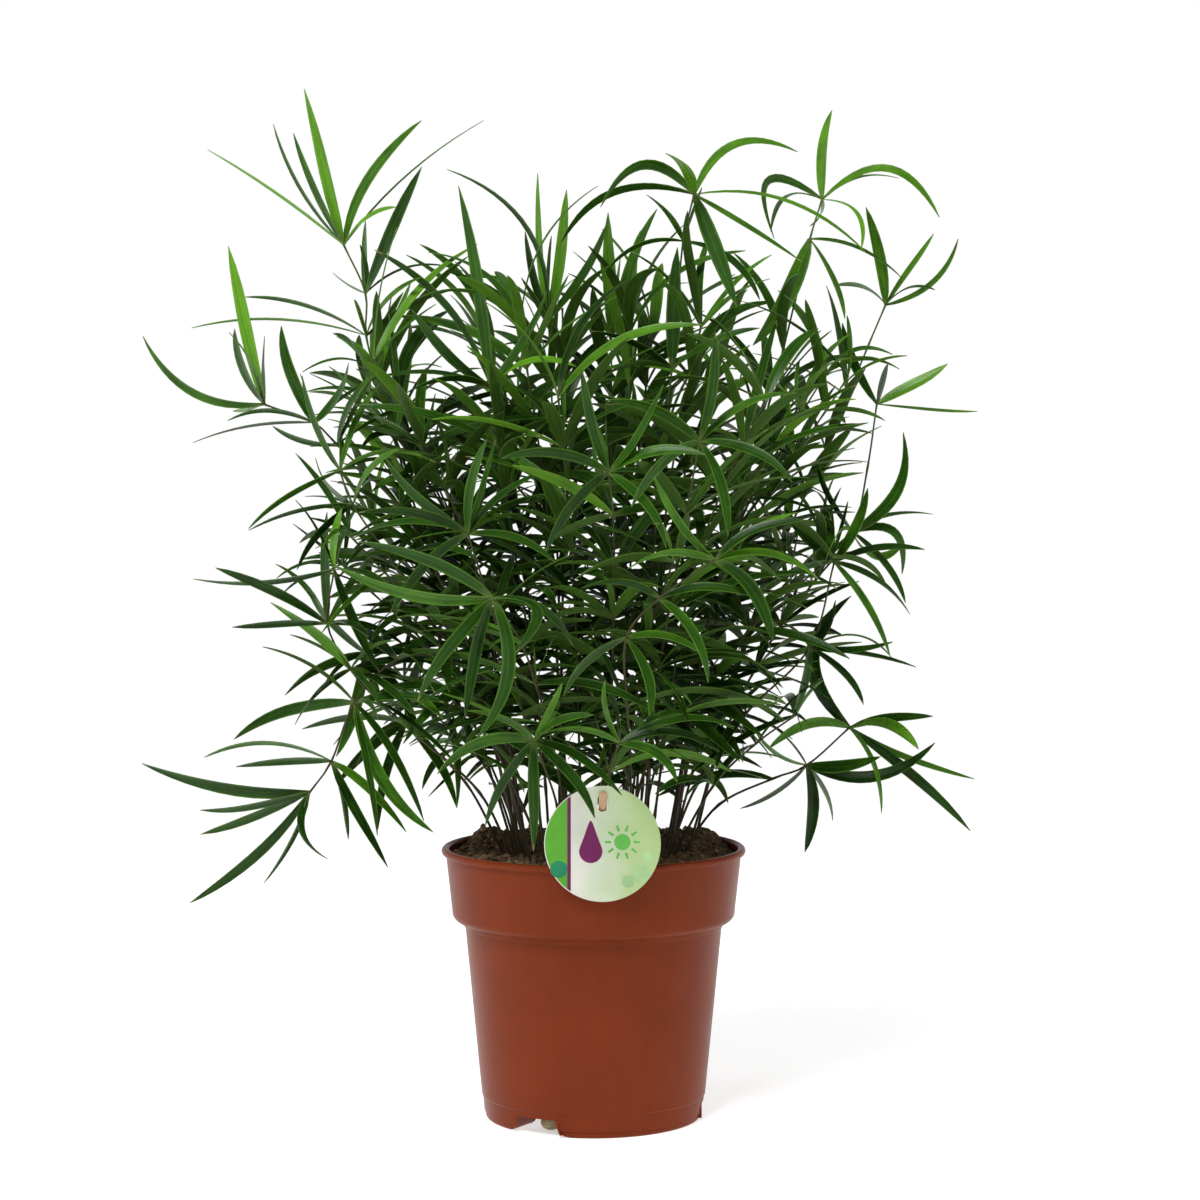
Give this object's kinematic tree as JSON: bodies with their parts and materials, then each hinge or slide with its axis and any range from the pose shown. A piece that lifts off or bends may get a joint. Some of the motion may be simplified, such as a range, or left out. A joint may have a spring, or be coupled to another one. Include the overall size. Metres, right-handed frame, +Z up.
{
  "type": "potted asparagus fern",
  "caption": "Potted asparagus fern: a nursery pot of soil with wiry shoots whose whorls of sickle-shaped blades arch over the rim, and a round care label on a wooden stake.",
  "frame": {"origin": "the middle of the box round the plant's footprint, on the surface that the pot stands on", "axes": "+Z up, +X to the viewer's right, -Y towards the viewer"},
  "size_m": [0.4628, 0.3225, 0.5688],
  "materials": {
    "terracotta_plastic": "satin moulded plastic",
    "potting_soil": "rough, crumbly, with fibres",
    "printed_card": "printed, smooth",
    "pale_wood": "bare sawn wood",
    "root_skin": "dull skin",
    "leaf_green": "waxy leaf"
  },
  "bodies": {
    "root": {"drain_root": "root_skin", "label": "printed_card", "label_stake": "pale_wood", "pot": "terracotta_plastic", "shoot_01": "leaf_green", "shoot_02": "leaf_green", "shoot_03": "leaf_green", "shoot_04": "leaf_green", "shoot_05": "leaf_green", "shoot_06": "leaf_green", "shoot_07": "leaf_green", "shoot_08": "leaf_green", "shoot_09": "leaf_green", "shoot_10": "leaf_green", "shoot_11": "leaf_green", "shoot_12": "leaf_green", "shoot_13": "leaf_green", "shoot_14": "leaf_green", "shoot_15": "leaf_green", "shoot_16": "leaf_green", "shoot_17": "leaf_green", "shoot_18": "leaf_green", "shoot_19": "leaf_green", "shoot_20": "leaf_green", "shoot_21": "leaf_green", "shoot_22": "leaf_green", "shoot_23": "leaf_green", "shoot_24": "leaf_green", "shoot_25": "leaf_green", "shoot_26": "leaf_green", "shoot_27": "leaf_green", "shoot_28": "leaf_green", "shoot_29": "leaf_green", "shoot_30": "leaf_green", "shoot_31": "leaf_green", "shoot_32": "leaf_green", "shoot_33": "leaf_green", "shoot_34": "leaf_green", "shoot_35": "leaf_green", "shoot_36": "leaf_green", "shoot_37": "leaf_green", "shoot_38": "leaf_green", "shoot_39": "leaf_green", "shoot_40": "leaf_green", "shoot_41": "leaf_green", "shoot_42": "leaf_green", "shoot_43": "leaf_green", "shoot_44": "leaf_green", "shoot_45": "leaf_green", "shoot_46": "leaf_green", "shoot_47": "leaf_green", "shoot_48": "leaf_green", "shoot_49": "leaf_green", "shoot_50": "leaf_green", "shoot_51": "leaf_green", "soil": "potting_soil"}
  },
  "joints": []
}
